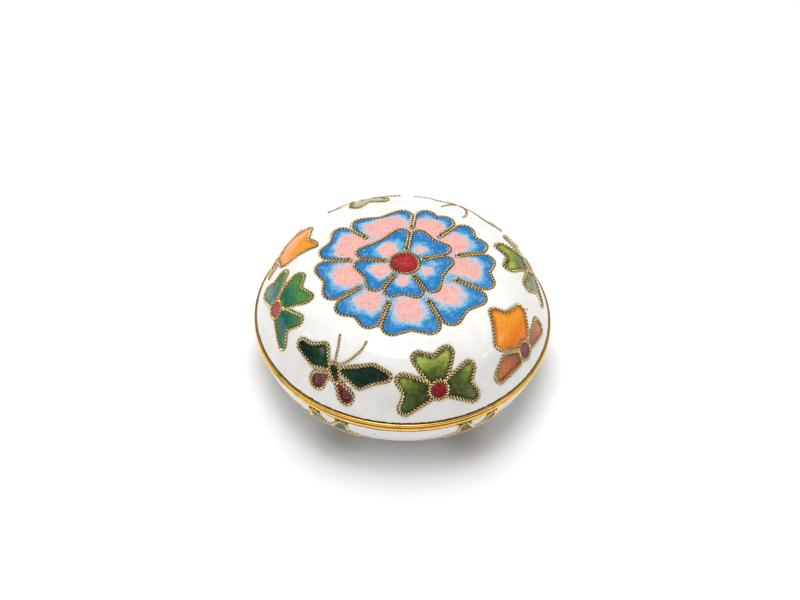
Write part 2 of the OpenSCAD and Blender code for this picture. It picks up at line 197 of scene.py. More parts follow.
class Plane:
    """Drawing plane that touches a surface; drop() carries its points onto the surface."""

    HALVINGS = 45

    def __init__(self, surface, azimuth, radius, height, tilt, rise=0.0, mirrored=False):
        self.surface = surface
        spoke = np.array([math.cos(azimuth), math.sin(azimuth), 0.0])
        self.x = np.array([-math.sin(azimuth), math.cos(azimuth), 0.0])
        self.y = -math.cos(tilt) * spoke + np.array([0, 0, math.sin(tilt)])
        self.normal = math.sin(tilt) * spoke + np.array([0, 0, math.cos(tilt)])
        self.origin = radius * spoke + np.array([0, 0, height]) + rise * self.y
        self.flip = -1 if mirrored else 1

    def drop(self, points):
        start = (
            self.origin
            + np.outer(self.flip * UNIT * points[:, 0], self.x)
            + np.outer(UNIT * points[:, 1], self.y)
        )
        inner = np.full(len(points), -STAMP_DEPTH)
        outer = np.full(len(points), STAMP_HEIGHT)
        for _ in range(self.HALVINGS):
            middle = (inner + outer) / 2
            out = self.surface.outside(start + np.outer(middle, self.normal))
            outer = np.where(out, middle, outer)
            inner = np.where(out, inner, middle)
        return start + np.outer(inner, self.normal)


def on_lid(azimuth, rise, side):
    radius = SHOULDER_X + SHOULDER_R * math.sin(LID_RING_TILT)
    height = SEAM + SHOULDER_Y + SHOULDER_R * math.cos(LID_RING_TILT)
    return Plane(LID, math.radians(azimuth), radius, height, LID_RING_TILT, rise, side < 0)


def on_base(azimuth, rise, side):
    radius = BOWL_X + BOWL_R * math.sin(BASE_RING_TILT)
    height = SEAM + BOWL_Y + BOWL_R * math.cos(BASE_RING_TILT)
    return Plane(BASE, math.radians(azimuth), radius, height, BASE_RING_TILT, rise, side < 0)


ON_TOP = Plane(LID, -math.pi / 2, 0.0, SEAM + DOME_H, 0.0)

# ---- Motifs: closed runs of stops [x, y, r], the same as in the CAD source ----


def turned(stops, angle):
    a = math.radians(angle)
    return [
        (x * math.cos(a) - y * math.sin(a), x * math.sin(a) + y * math.cos(a), r)
        for x, y, r in stops
    ]


def leaf(reach, spread, lobe, notch):
    return [
        (1.2, -0.8, 0.5),
        (reach, -spread, lobe),
        (notch, 0, 0),
        (reach, spread, lobe),
        (1.2, 0.8, 0.5),
    ]


CENTRE_R = 1.55
FLOWER_CENTRE = [[(0, 0, CENTRE_R)]]
GREEN_LEAVES = [turned(leaf(5.5, 2.3, 1.1, 5.6), a) for a in (4, 92, 179)]
TEAL_LEAVES = [
    turned(leaf(5.6, 2.4, 1.0, 5.45), 7),
    turned(leaf(5.5, 2.3, 1.1, 5.6), 92),
    turned(leaf(5.6, 2.4, 1.0, 5.45), 173),
]
SMALL_LEAVES = [turned(leaf(3.9, 1.7, 0.85, 3.9), a) for a in (30, 150, 270)]
ORANGE_MAIN = [
    [
        (1.7, 1.5, 0.5),
        (3.3, 5.2, 1.25),
        (1.0, 7.15, 0),
        (-0.6, 8.05, 1.0),
        (-3.7, 4.6, 1.35),
        (-1.2, 1.7, 0.5),
    ]
]
ORANGE_SIDES = [
    [(1.8, -0.4, 0.5), (6.2, -0.3, 1.1), (5.8, 1.0, 1.0), (1.9, 0.5, 0.5)],
    [(-1.9, 0.7, 0.5), (-4.6, 1.5, 1.1), (-6.5, 0.3, 1.3), (-2.0, -0.7, 0.5)],
]
ORANGE_SHORT_SIDES = [
    ORANGE_SIDES[0],
    [(-1.9, 0.7, 0.5), (-3.9, 1.4, 0.9), (-4.4, 0.4, 0.9), (-2.0, -0.7, 0.5)],
]
BODY = [[(0.1, -1.2, 0.9), (1.0, -2.7, 0.6)]]
UPPER_WINGS = [
    [(1.5, -1.0, 0.5), (4.8, -1.8, 0.9), (7.0, -0.9, 0), (8.3, 0.9, 0.8), (6.2, 1.0, 1.0)],
    [(-1.2, -1.4, 0.5), (-2.8, 1.0, 0.9), (-4.9, 0.9, 0), (-6.7, -0.1, 1.0), (-3.8, -1.5, 0.9)],
]
LOWER_WINGS = [
    [(1.5, -3.2, 0.5), (3.3, -4.7, 1.3)],
    [(-0.8, -2.8, 0.5), (-2.1, -4.2, 1.4)],
]
ANTENNAE = [
    [(-0.1, -0.4), (-0.5, 1.8), (-1.3, 4.2)],
    [(0.6, -0.3), (2.7, 2.2), (3.2, 4.9)],
]

BUTTERFLIES = {"front": (-119.5, 0, 1), "back": (65, 0.9, -1)}
FLOWERS = {
    "front_green": (-74, -2.6, 1),
    "right_green": (15, -1.2, 1),
    "back_green": (112, -1.6, 1),
    "left_teal": (-163, -1.2, 1),
    "right_orange": (-29, -3.8, 1),
    "left_orange": (160.5, -3.0, -1),
}
BASE_FLOWERS = [(-118 + 60 * i, 0.2, 1) for i in range(6)]

OUTER_CREASES = [-142, -105, -63, -20, 17, 51, 84, 138, 177]
OUTER_REACH = [15.0, 15.3, 15.0, 15.0, 14.9, 14.3, 13.6, 14.4, 14.7]
INNER_CREASES = [-120, -60, 20, 84, 174]
INNER_REACH = [7.8, 8.0, 8.6, 8.4, 8.3]
OUTER_CORE_R = 9.3
INNER_CORE_R = 3.5
CENTRE_RING_R = 2.45
OUTER_LOBE_R = 1.7
INNER_LOBE_R = 1.25
ROOT_R = 0.5
CREASE_GAP = 0.45
NOTCH_SHARE = 0.55


def petal(a, b, core, reach, lobe):
    half = math.radians(b - a) / 2
    side = CREASE_GAP * 2 * HALF_WIRE / UNIT
    lobe_at = reach - lobe
    root_at = core - 1
    across = half - math.asin((lobe + side) / lobe_at)
    root_across = half - math.asin((ROOT_R + side) / root_at)
    lobe_x, lobe_y = lobe_at * math.cos(across), lobe_at * math.sin(across)
    root_x, root_y = root_at * math.cos(root_across), root_at * math.sin(root_across)
    stops = [
        (root_x, -root_y, ROOT_R),
        (lobe_x, -lobe_y, lobe),
        (lobe_x + NOTCH_SHARE * lobe, 0, 0),
        (lobe_x, lobe_y, lobe),
        (root_x, root_y, ROOT_R),
    ]
    return turned(stops, (a + b) / 2)


def ring_petals(creases, reach, core, lobe):
    ends = creases[1:] + [creases[0] + 360]
    return [petal(a, b, core, far, lobe) for a, b, far in zip(creases, ends, reach)]


OUTER_PETALS = ring_petals(OUTER_CREASES, OUTER_REACH, OUTER_CORE_R, OUTER_LOBE_R)
INNER_PETALS = ring_petals(INNER_CREASES, INNER_REACH, INNER_CORE_R, INNER_LOBE_R)

# ---- Outlines in a drawing plane ----

OUTLINE_STEP = 0.14


def outward(a, b):
    """Unit normal, on the outer side, of the straight run between two stops."""
    along = np.array(b[:2], float) - np.array(a[:2], float)
    span = np.linalg.norm(along)
    x, y = along / span
    lean = (a[2] - b[2]) / span
    c = math.sqrt(1 - lean * lean)
    return np.array([x * lean + y * c, y * lean - x * c])


def circle(radius, centre=(0.0, 0.0)):
    count = max(int(2 * math.pi * radius / OUTLINE_STEP), 24)
    turn = np.linspace(0, 2 * math.pi, count, endpoint=False)
    return np.column_stack([centre[0] + radius * np.cos(turn), centre[1] + radius * np.sin(turn)])


def outline(stops, grow=0.0):
    """Evenly spaced points of a cell's outline, moved outward by grow."""
    if len(stops) == 1:
        return circle(stops[0][2] + grow, stops[0][:2])
    points = []
    for i, stop in enumerate(stops):
        n_in = outward(stops[i - 1], stop)
        n_out = outward(stop, stops[(i + 1) % len(stops)])
        at = np.array(stop[:2], float)
        if stop[2] == 0:
            points.append(at + grow * (n_in + n_out) / (1 + n_in @ n_out))
            continue
        start = math.atan2(n_in[1], n_in[0])
        sweep = (math.atan2(n_out[1], n_out[0]) - start) % (2 * math.pi)
        radius = stop[2] + grow
        for share in np.linspace(0, 1, max(int(sweep * radius / OUTLINE_STEP), 3) + 1):
            turn = start + share * sweep
            points.append(at + radius * np.array([math.cos(turn), math.sin(turn)]))
    return resampled(np.array(points), OUTLINE_STEP, True)


def resampled(points, step, closed):
    """Points at an even step along a line, in a plane or in space."""
    line = np.vstack([points, points[:1]]) if closed else points
    run = np.concatenate([[0], np.cumsum(np.linalg.norm(np.diff(line, axis=0), axis=1))])
    count = max(int(round(run[-1] / step)), 4)
    wanted = np.linspace(0, run[-1], count + 1)[: count if closed else None]
    return np.column_stack([np.interp(wanted, run, line[:, i]) for i in range(line.shape[1])])


def inside(points, loop):
    """Which points lie inside a closed loop."""
    result = np.zeros(len(points), bool)
    near = np.all((points > loop.min(0)) & (points < loop.max(0)), axis=1)
    x, y = points[near, 0][:, None], points[near, 1][:, None]
    a, b = loop, np.roll(loop, -1, axis=0)
    crosses = (a[:, 1] > y) != (b[:, 1] > y)
    rise = np.where(b[:, 1] == a[:, 1], 1, b[:, 1] - a[:, 1])
    at_x = a[:, 0] + (y - a[:, 1]) / rise * (b[:, 0] - a[:, 0])
    result[near] = (crosses & (x < at_x)).sum(axis=1) % 2 == 1
    return result


def inside_any(points, loops):
    result = np.zeros(len(points), bool)
    for loop in loops:
        result |= inside(points, loop)
    return result


def nearest(points, targets):
    """Distance from each point to the nearest target."""
    tree = KDTree(len(targets))
    for i, target in enumerate(targets):
        tree.insert((target[0], target[1], 0), i)
    tree.balance()
    return np.array([tree.find((p[0], p[1], 0))[2] for p in points])


# Inner points keep this share of their spacing from the border
BORDER_GAP = 0.55


def patch(keep, cut, spacing):
    """Triangles over the area inside any keep loop and outside every cut loop.

    Returns the points, the triangles, the loops of the area's border as edges, and each
    point's distance from that border.
    """
    loops = keep + cut
    corner, far = np.vstack(keep).min(0), np.vstack(keep).max(0)
    columns = np.arange(corner[0], far[0], spacing)
    rows = np.arange(corner[1], far[1], spacing * math.sqrt(3) / 2)
    grid_x, grid_y = np.meshgrid(columns, rows)
    grid_x[1::2] += spacing / 2
    grid = np.column_stack([grid_x.ravel(), grid_y.ravel()])
    grid = grid[inside_any(grid, keep) & ~inside_any(grid, cut)]
    if len(grid):
        grid = grid[nearest(grid, np.vstack(loops)) > BORDER_GAP * spacing]
    points = np.vstack(loops + [grid])
    edges = []
    first = 0
    for loop in loops:
        count = len(loop)
        edges += [(first + i, first + (i + 1) % count) for i in range(count)]
        first += count
    vectors = [Vector(p) for p in points]
    verts, _, faces, _, _, _ = delaunay_2d_cdt(vectors, edges, [], 0, 1e-6)
    flat = np.array([v[:] for v in verts])
    triangles = np.array([f[:] for f in faces])
    middles = flat[triangles].mean(axis=1)
    triangles = triangles[inside_any(middles, keep) & ~inside_any(middles, cut)]
    used, packed = np.unique(triangles, return_inverse=True)
    flat = flat[used]
    triangles = packed.reshape(-1, 3)
    a, b, c = flat[triangles[:, 0]], flat[triangles[:, 1]], flat[triangles[:, 2]]
    turn = (b[:, 0] - a[:, 0]) * (c[:, 1] - a[:, 1]) - (b[:, 1] - a[:, 1]) * (c[:, 0] - a[:, 0])
    triangles[turn < 0] = triangles[turn < 0][:, ::-1]
    directed = {(t[i], t[(i + 1) % 3]) for t in triangles for i in range(3)}
    border = [edge for edge in directed if (edge[1], edge[0]) not in directed]
    distance = nearest(flat, flat[sorted({i for edge in border for i in edge})])
    return flat, triangles, border, distance


# ---- Meshes ----


def ripple(points, size, seed=0.0):
    """Smooth unevenness between -1 and 1 over points in millimetres."""
    shift = Vector((seed, 2 * seed, -seed))
    return np.array([noise.noise(Vector(p) / size + shift) for p in points])


def smooth(x):
    x = np.clip(x, 0, 1)
    return x * x * (3 - 2 * x)


def build(name, verts, faces, material, attributes=None, flat_from=None):
    """A mesh piece from points in millimetres, smooth except for the faces from flat_from on."""
    mesh = bpy.data.meshes.new(name)
    mesh.from_pydata((np.asarray(verts) * MM).tolist(), [], faces)
    shade = np.ones(len(mesh.polygons), bool)
    if flat_from is not None:
        shade[flat_from:] = False
    mesh.polygons.foreach_set("use_smooth", shade)
    for key, values in (attributes or {}).items():
        layer = mesh.attributes.new(key, "FLOAT", "POINT")
        layer.data.foreach_set("value", np.asarray(values, np.float32))
    mesh.materials.append(material)
    mesh.validate()
    piece = bpy.data.objects.new(name, mesh)
    bpy.context.scene.collection.objects.link(piece)
    return piece


def mount(piece, body, node, slot):
    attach(piece, body)
    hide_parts(node)


def slab(name, top, bottom, triangles, border, material, attributes):
    """Closed layer between two sheets of the same triangles."""
    count = len(top)
    faces = [tuple(t) for t in triangles.tolist()]
    upper = len(faces)
    faces += [(c + count, b + count, a + count) for a, b, c in triangles.tolist()]
    faces += [(int(b), int(a), int(a) + count, int(b) + count) for a, b in border]
    doubled = {key: np.concatenate([v, v]) for key, v in attributes.items()}
    return build(name, np.vstack([top, bottom]), faces, material, doubled, flat_from=upper)


def normals_at(surface, points):
    s, azimuth = surface.place(points)
    return surface.at(s, azimuth, 1.0) - surface.at(s, azimuth, 0.0)


# Reach of the slope by which glass climbs to a wire, and its fine unevenness
MENISCUS = 0.45
GRAIN_DEPTH = 0.012
# The glass stops this short of the copper
SOLE_GAP = 0.02


def fill(name, planes, keep, cut, slot, tone, body="lid", dip=0.09, spacing=0.22):
    """Glass of the same cells at one or more places, dipping between the wires round them."""
    flat, triangles, border, distance = patch(keep, cut, spacing)
    tops, bottoms, faces, edges = [], [], [], []
    for i, plane in enumerate(planes):
        first = i * len(flat)
        points = plane.drop(flat)
        normals = normals_at(plane.surface, points)
        rise = -dip * smooth(distance / MENISCUS) - GRAIN_DEPTH * (1 + ripple(points, 0.8, 3.1))
        tops.append(points + normals * rise[:, None])
        bottoms.append(points - normals * (ENAMEL_T - SOLE_GAP))
        faces.append(first + triangles[:, :: plane.flip])
        edges += [(first + a, first + b)[:: plane.flip] for a, b in border]
    attributes = {"edge": np.tile(distance, len(planes)), "tone": np.tile(tone(flat), len(planes))}
    piece = slab(
        name, np.vstack(tops), np.vstack(bottoms), np.vstack(faces), edges, MATERIALS[slot],
        attributes,
    )
    mount(piece, body, name, slot)


STRAND_R = 0.17
STRAND_OFFSET = 0.175
TWIST_PITCH = 1.15
STRAND_STEP = 0.1
STRAND_SIDES = 8
HAND_BEND = 0.09
# The dark bed under a wire, partly residue and partly painted shade in the gaps between the
# strands, laps a little under the glass and lies below its surface
BED_LAP = 0.03
BED_DEPTH = 0.06


class WireMesh:
    """Collects twisted wires and the dark bed under them, partly residue and partly painted shade
    in the gaps between the strands.
    """

    def __init__(self, surface, scale=1.0):
        self.surface = surface
        self.scale = scale
        self.verts = []
        self.faces = []
        self.groove = []

    def add(self, line, closed, bedded=True):
        """Two strands twisted round each other along a line on the surface."""
        line = resampled(line, STRAND_STEP, closed)
        normal = normals_at(self.surface, line)
        if closed:
            along = np.roll(line, -1, axis=0) - np.roll(line, 1, axis=0)
        else:
            along = np.gradient(line, axis=0)
        along /= np.linalg.norm(along, axis=1)[:, None]
        side = np.cross(normal, along)
        side /= np.linalg.norm(side, axis=1)[:, None]
        line = line + side * (HAND_BEND * ripple(line, 1.8, 9.3))[:, None]
        length = len(line) * STRAND_STEP
        turns = max(round(length / (TWIST_PITCH * self.scale)), 1)
        phase = 2 * math.pi * turns * np.arange(len(line)) / len(line)
        offset = STRAND_OFFSET * self.scale
        radius = STRAND_R * self.scale
        seat = WIRE_RISE - 0.005 - offset - radius
        wobble = 0.03 * ripple(line, 1.3, 7.7)
        for strand in (0, math.pi):
            across = offset * np.cos(phase + strand)
            up = offset * np.sin(phase + strand)
            ring_turn = 2 * math.pi * np.arange(STRAND_SIDES) / STRAND_SIDES
            rings = []
            grooves = []
            for turn in ring_turn:
                ring_across = across + wobble + radius * math.cos(turn)
                ring_up = up + radius * math.sin(turn)
                lift = (seat + ring_up)[:, None]
                rings.append(line + side * ring_across[:, None] + normal * lift)
                # Painted shade with some residue: the sides where the two strands meet and their
                # low sides by the glass get a groove mark, which the wire's material paints dark
                # brown
                facing = -np.cos(phase + strand - turn)
                sunk = smooth((0.24 - ring_up / self.scale) / 0.25)
                grooves.append(np.maximum(smooth((facing - 0.1) / 0.9), sunk))
            self.tube(np.stack(rings, axis=1), np.stack(grooves, axis=1), closed)
        if bedded:
            half = GLASS_GAP + BED_LAP
            crown, sole = -BED_DEPTH, BED_LAP - ENAMEL_T
            section = [(-half, crown), (half, crown), (half, sole), (-half, sole)]
            rings = [line + side * x + normal * y for x, y in section]
            rings = np.stack(rings, axis=1)
            # The bed is marked as groove all over, so it takes the dark brown of the painted shade
            # and residue
            self.tube(rings[:, ::-1], np.ones(rings.shape[:2]), closed)

    def tube(self, rings, groove, closed):
        """Skin over a row of rings, capped where the wire has ends."""
        count, sides = rings.shape[:2]
        first = len(self.verts)
        self.verts += rings.reshape(-1, 3).tolist()
        self.groove += groove.ravel().tolist()
        for i in range(count if closed else count - 1):
            a = first + i * sides
            b = first + (i + 1) % count * sides
            for j in range(sides):
                k = (j + 1) % sides
                self.faces.append((a + j, a + k, b + k, b + j))
        if not closed:
            self.faces.append(tuple(range(first + sides - 1, first - 1, -1)))
            self.faces.append(tuple(range(first + (count - 1) * sides, first + count * sides)))

    def finish(self, name, body):
        groove = {"groove": self.groove}
        piece = build(name, self.verts, self.faces, MATERIALS["gilt_wire"], groove)
        mount(piece, body, name, "gilt_wire")


# How many points on either side take part in the rounding of a notch
NOTCH_REACH = 2


def open_runs(loop, hidden):
    """The stretches of a closed loop that aren't hidden, as (points, closed)."""
    if not hidden.any():
        return [(loop, True)]
    start = int(np.argmax(hidden))
    loop = np.roll(loop, -start, axis=0)
    hidden = np.roll(hidden, -start)
    changes = np.flatnonzero(hidden[1:] != hidden[:-1]) + 1
    return [(run, False) for run in np.split(loop, changes)[1::2] if len(run) > 3]


def softened_loop(loop):
    """The loop with its notches rounded, as far as a bent wire can follow them."""
    total = sum(np.roll(loop, shift, axis=0) for shift in range(-NOTCH_REACH, NOTCH_REACH + 1))
    return total / (2 * NOTCH_REACH + 1)


def wire_outlines(wires, plane, cells, blockers):
    """Wires along the outlines of cells, broken where they would enter a blocker."""
    for stops in cells:
        loop = softened_loop(outline(stops))
        hidden = inside_any(loop, blockers)
        for points, closed in open_runs(loop, hidden):
            wires.add(plane.drop(points), closed)


# ---- Materials ----


class Paint:
    """A node material built up from a Principled shader."""

    def __init__(self, name, roughness, metallic=0.0):
        self.material = bpy.data.materials.new(name)
        self.material.use_nodes = True
        self.tree = self.material.node_tree
        self.shader = self.tree.nodes["Principled BSDF"]
        self.shader.inputs["Roughness"].default_value = roughness
        self.shader.inputs["Metallic"].default_value = metallic
        self.where = self.tree.nodes.new("ShaderNodeTexCoord").outputs["Object"]

    def link(self, source, target):
        self.tree.links.new(source, target)

    def attribute(self, key):
        node = self.tree.nodes.new("ShaderNodeAttribute")
        node.attribute_name = key
        return node.outputs["Fac"]

    def noise(self, size, detail=3.0, roughness=0.55):
        """Noise whose features are size millimetres across."""
        node = self.tree.nodes.new("ShaderNodeTexNoise")
        node.inputs["Scale"].default_value = 1 / (size * MM)
        node.inputs["Detail"].default_value = detail
        node.inputs["Roughness"].default_value = roughness
        self.link(self.where, node.inputs["Vector"])
        return node.outputs["Fac"]

    def cells(self, size, output="Distance"):
        node = self.tree.nodes.new("ShaderNodeTexVoronoi")
        node.inputs["Scale"].default_value = 1 / (size * MM)
        self.link(self.where, node.inputs["Vector"])
        return node.outputs[output]

    def math(self, kind, a, b=None, c=None):
        node = self.tree.nodes.new("ShaderNodeMath")
        node.operation = kind
        for socket, value in zip(node.inputs, (a, b, c)):
            if value is None:
                continue
            if isinstance(value, (int, float)):
                socket.default_value = value
            else:
                self.link(value, socket)
        return node.outputs[0]

    def ramp(self, value, stops):
        """Colour ramp; stops are (position, colour)."""
        node = self.tree.nodes.new("ShaderNodeValToRGB")
        ramp = node.color_ramp
        while len(ramp.elements) < len(stops):
            ramp.elements.new(0.5)
        for element, (position, colour) in zip(ramp.elements, stops):
            element.position = position
            element.color = (*colour, 1)
        self.link(value, node.inputs["Fac"])
        return node.outputs["Color"]

    def steps(self, value, low_at, high_at):
        """Value turned into 0 below low_at and 1 above high_at, smoothly between."""
        node = self.tree.nodes.new("ShaderNodeMapRange")
        node.interpolation_type = "SMOOTHSTEP"
        node.inputs["From Min"].default_value = low_at
        node.inputs["From Max"].default_value = high_at
        self.link(value, node.inputs["Value"])
        return node.outputs["Result"]

    def mix(self, share, a, b):
        node = self.tree.nodes.new("ShaderNodeMix")
        node.data_type = "RGBA"
        self.link(share, node.inputs["Factor"])
        for socket, value in ((node.inputs["A"], a), (node.inputs["B"], b)):
            if isinstance(value, tuple):
                socket.default_value = (*value, 1)
            else:
                self.link(value, socket)
        return node.outputs["Result"]

    def colour(self, value):
        self.link(value, self.shader.inputs["Base Color"])

    def roughness(self, value, smoothest, roughest):
        node = self.tree.nodes.new("ShaderNodeMapRange")
        node.inputs["To Min"].default_value = smoothest
        node.inputs["To Max"].default_value = roughest
        self.link(value, node.inputs["Value"])
        self.link(node.outputs["Result"], self.shader.inputs["Roughness"])

    def bump(self, value, depth):
        """Relief of depth millimetres."""
        node = self.tree.nodes.new("ShaderNodeBump")
        node.inputs["Distance"].default_value = depth * MM
        self.link(value, node.inputs["Height"])
        self.link(node.outputs["Normal"], self.shader.inputs["Normal"])


def linear(red, green, blue):
    """Linear colour from 8-bit display values."""
    def channel(value):
        value /= 255
        return value / 12.92 if value <= 0.04045 else ((value + 0.055) / 1.055) ** 2.4
    return (channel(red), channel(green), channel(blue))


# Black of the pits in the white enamel, and of the thin line along the wires in the coloured
# glass, which is partly oxide and partly painted shade of the wires
SOOT_AND_SHADE = linear(38, 24, 18)
FIRESCALE = linear(58, 34, 22)
PALE_GRAIN = linear(236, 228, 218)


def white_glass(name):
    """Opaque white enamel: faint clouds, rare pits, firescale where it thins at the rim, and a
    brownish tint beside the wires that is partly oxide and partly painted shade.
    """
    paint = Paint(name, 0.07)
    clouds = paint.noise(5.0, 4.0)
    cool, white, warm = linear(246, 242, 236), linear(253, 252, 249), linear(245, 239, 232)
    tint = paint.ramp(clouds, [(0.3, cool), (0.55, white), (0.75, warm)])
    pit_size = paint.steps(paint.cells(1.7, "Color"), 0.72, 0.9)
    pit = paint.math("LESS_THAN", paint.cells(1.7), paint.math("MULTIPLY", pit_size, 0.1))
    tint = paint.mix(pit, tint, SOOT_AND_SHADE)
    ragged = paint.math("MULTIPLY_ADD", paint.noise(0.6, 3.0, 0.7), -0.45, paint.attribute("edge"))
    seam = paint.math("MULTIPLY", paint.attribute("tone"), paint.steps(ragged, 0.1, 0.02))
    tint = paint.mix(seam, tint, FIRESCALE)
    # Painted shade with oxide: a patchy brownish tint right beside the wires, where their shade
    # falls on the glass
    contact = paint.math("SUBTRACT", 1.0, paint.steps(paint.attribute("edge"), 0.02, 0.16))
    stain = paint.math("MULTIPLY", contact, paint.steps(paint.noise(1.4), 0.3, 0.75))
    paint.colour(paint.mix(stain, tint, linear(150, 120, 96)))
    paint.roughness(paint.noise(2.5), 0.04, 0.12)
    paint.bump(paint.noise(1.1, 2.0), 0.008)
    return paint.material


GRAIN = 0.3


def coloured_glass(name, colours, rim, mottle, specks):
    """Glass whose colour runs through colours as its tone rises, broken up by ground grains.

    Near the wires it takes the colour rim, if there is one, and right at them it darkens to a
    thin line that is partly oxide and partly painted shade. The colour wanders by mottle, and
    specks is the strength of its pale grains.
    """
    paint = Paint(name, 0.06)
    grains = paint.math("SUBTRACT", paint.cells(GRAIN, "Color"), 0.5)
    drift = paint.math("SUBTRACT", paint.noise(1.6, 4.0, 0.6), 0.5)
    tone = paint.math("MULTIPLY_ADD", grains, mottle, paint.attribute("tone"))
    tone = paint.math("MULTIPLY_ADD", drift, 2.2 * mottle, tone)
    stops = [(i / (len(colours) - 1), linear(*c)) for i, c in enumerate(colours)]
    colour = paint.ramp(tone, stops)
    pale = paint.steps(paint.cells(1.4 * GRAIN, "Color"), 0.5, 0.95)
    pale = paint.math("MULTIPLY", pale, specks)
    colour = paint.mix(pale, colour, PALE_GRAIN)
    deep = paint.math("MULTIPLY", paint.steps(paint.noise(0.45, 4.0, 0.7), 0.5, 0.78), 0.6)
    colour = paint.mix(deep, colour, linear(*[0.62 * c for c in colours[0 if rim else -1]]))
    edge = paint.attribute("edge")
    if rim:
        near = paint.math("SUBTRACT", 1.0, paint.steps(edge, 0.1, 0.75))
        near = paint.math("MULTIPLY", near, paint.steps(paint.noise(0.9), 0.2, 0.6))
        colour = paint.mix(near, colour, linear(*rim))
    # Painted shade: the glass darkens to a thin line right along the wires, partly the wires'
    # shade and partly oxide
    dark = paint.math("SUBTRACT", 1.0, paint.steps(edge, 0.0, 0.14))
    dark = paint.math("MULTIPLY", dark, paint.steps(paint.noise(0.8), 0.25, 0.7))
    paint.colour(paint.mix(dark, colour, SOOT_AND_SHADE))
    paint.roughness(paint.noise(0.7), 0.05, 0.16)
    paint.bump(paint.noise(0.35), 0.012)
    return paint.material


def lining_glass(name):
    """Counter-enamel: pale turquoise with darker specks and orange-peel ripples."""
    paint = Paint(name, 0.12)
    deep, middle, pale = linear(88, 168, 196), linear(120, 195, 214), linear(150, 212, 222)
    tint = paint.ramp(paint.noise(2.2, 5.0), [(0.3, deep), (0.55, middle), (0.75, pale)])
    speck = paint.math("LESS_THAN", paint.cells(0.9), 0.12)
    paint.colour(paint.mix(speck, tint, linear(38, 84, 110)))
    paint.roughness(paint.noise(1.5), 0.08, 0.22)
    paint.bump(paint.noise(0.7), 0.02)
    return paint.material


def gilt_band():
    """Polished gilt brass: soft scratches round the box, patchy tarnish, and a dark brown in the
    low places along its edges and seams that is partly dirt and partly painted shade.
    """
    paint = Paint("gilt_brass", 0.18, 1.0)
    tarnish = paint.steps(paint.noise(2.0, 5.0, 0.65), 0.5, 0.8)
    gold = paint.mix(paint.noise(6.0), linear(255, 208, 108), linear(244, 186, 84))
    worn = paint.mix(tarnish, gold, linear(168, 108, 48))
    groove = paint.attribute("groove")
    ragged = paint.math("MULTIPLY_ADD", paint.noise(0.6), 0.5, groove)
    # Painted shade with dirt: dark brown where the groove mark is high, along the band's edges and
    # seams
    dirt_and_shade = paint.steps(ragged, 0.85, 1.2)
    paint.colour(paint.mix(dirt_and_shade, worn, linear(84, 50, 26)))
    paint.roughness(paint.noise(0.4, 5.0, 0.7), 0.12, 0.34)
    paint.bump(paint.noise(0.25, 4.0), 0.006)
    return paint.material


def gilt_wire():
    """Gilt wire, bright on its crowns, with dark brown between the strands and on their low sides,
    partly residue and partly painted shade.
    """
    paint = Paint("gilt_wire", 0.25, 1.0)
    gold = paint.mix(paint.noise(2.5), linear(255, 236, 176), linear(244, 202, 124))
    groove = paint.attribute("groove")
    ragged = paint.math("MULTIPLY_ADD", paint.noise(0.5), 0.5, groove)
    # Painted shade with some residue: dark brown and not metallic where the groove mark is high
    dirt_and_shade = paint.steps(ragged, 0.56, 0.88)
    paint.colour(paint.mix(dirt_and_shade, gold, linear(40, 26, 16)))
    metal = paint.math("SUBTRACT", 1.0, dirt_and_shade)
    paint.link(metal, paint.shader.inputs["Metallic"])
    paint.roughness(ragged, 0.1, 0.5)
    paint.bump(paint.noise(0.2), 0.004)
    return paint.material


def copper():
    """Copper of the hidden shells, with darker fire stains."""
    paint = Paint("copper", 0.3, 1.0)
    stain = paint.steps(paint.noise(3.0, 5.0), 0.45, 0.75)
    paint.colour(paint.mix(stain, linear(214, 138, 104), linear(120, 66, 46)))
    paint.roughness(paint.noise(0.8, 4.0), 0.22, 0.5)
    paint.bump(paint.noise(0.4, 4.0), 0.01)
    return paint.material


def floor_paper():
    """Matt white sweep."""
    paint = Paint("floor_white", 0.6)
    paint.colour(paint.mix(paint.noise(40.0), linear(253, 253, 253), linear(255, 255, 255)))
    paint.shader.inputs["Specular IOR Level"].default_value = 0.2
    return paint.material


GLASSES = {
    "blue_enamel": (
        [
            (250, 184, 174),
            (246, 174, 164),
            (214, 196, 202),
            (122, 184, 218),
            (32, 140, 204),
            (18, 122, 190),
        ],
        None, 0.24, 0.17,
    ),
    "red_enamel": ([(124, 8, 20), (164, 16, 28), (190, 40, 42)], None, 0.2, 0.07),
    "crimson_enamel": ([(92, 6, 20), (140, 14, 32), (172, 34, 46)], None, 0.2, 0.07),
    "maroon_enamel": ([(68, 4, 18), (108, 8, 28), (136, 28, 44)], None, 0.2, 0.07),
    "dark_green_enamel": ([(2, 20, 14), (4, 46, 28), (20, 80, 40)], None, 0.3, 0.03),
    "teal_enamel": ([(0, 84, 98), (12, 108, 88), (88, 146, 56)], (70, 124, 40), 0.3, 0.07),
    "green_enamel": ([(46, 56, 12), (92, 108, 30), (176, 192, 84)], (48, 62, 16), 0.3, 0.07),
    "orange_enamel": ([(232, 106, 4), (255, 136, 8), (255, 162, 40)], (206, 108, 16), 0.2, 0.07),
    "amber_enamel": ([(150, 66, 10), (200, 100, 14), (226, 136, 40)], (126, 68, 24), 0.25, 0.07),
}
MATERIALS = {name: coloured_glass(name, *recipe) for name, recipe in GLASSES.items()}
MATERIALS["white_enamel"] = white_glass("white_enamel")
MATERIALS["lining_enamel"] = lining_glass("lining_enamel")
MATERIALS["gilt_brass"] = gilt_band()
MATERIALS["gilt_wire"] = gilt_wire()
MATERIALS["copper"] = copper()

# ---- Turned pieces ----

TURNS = 288


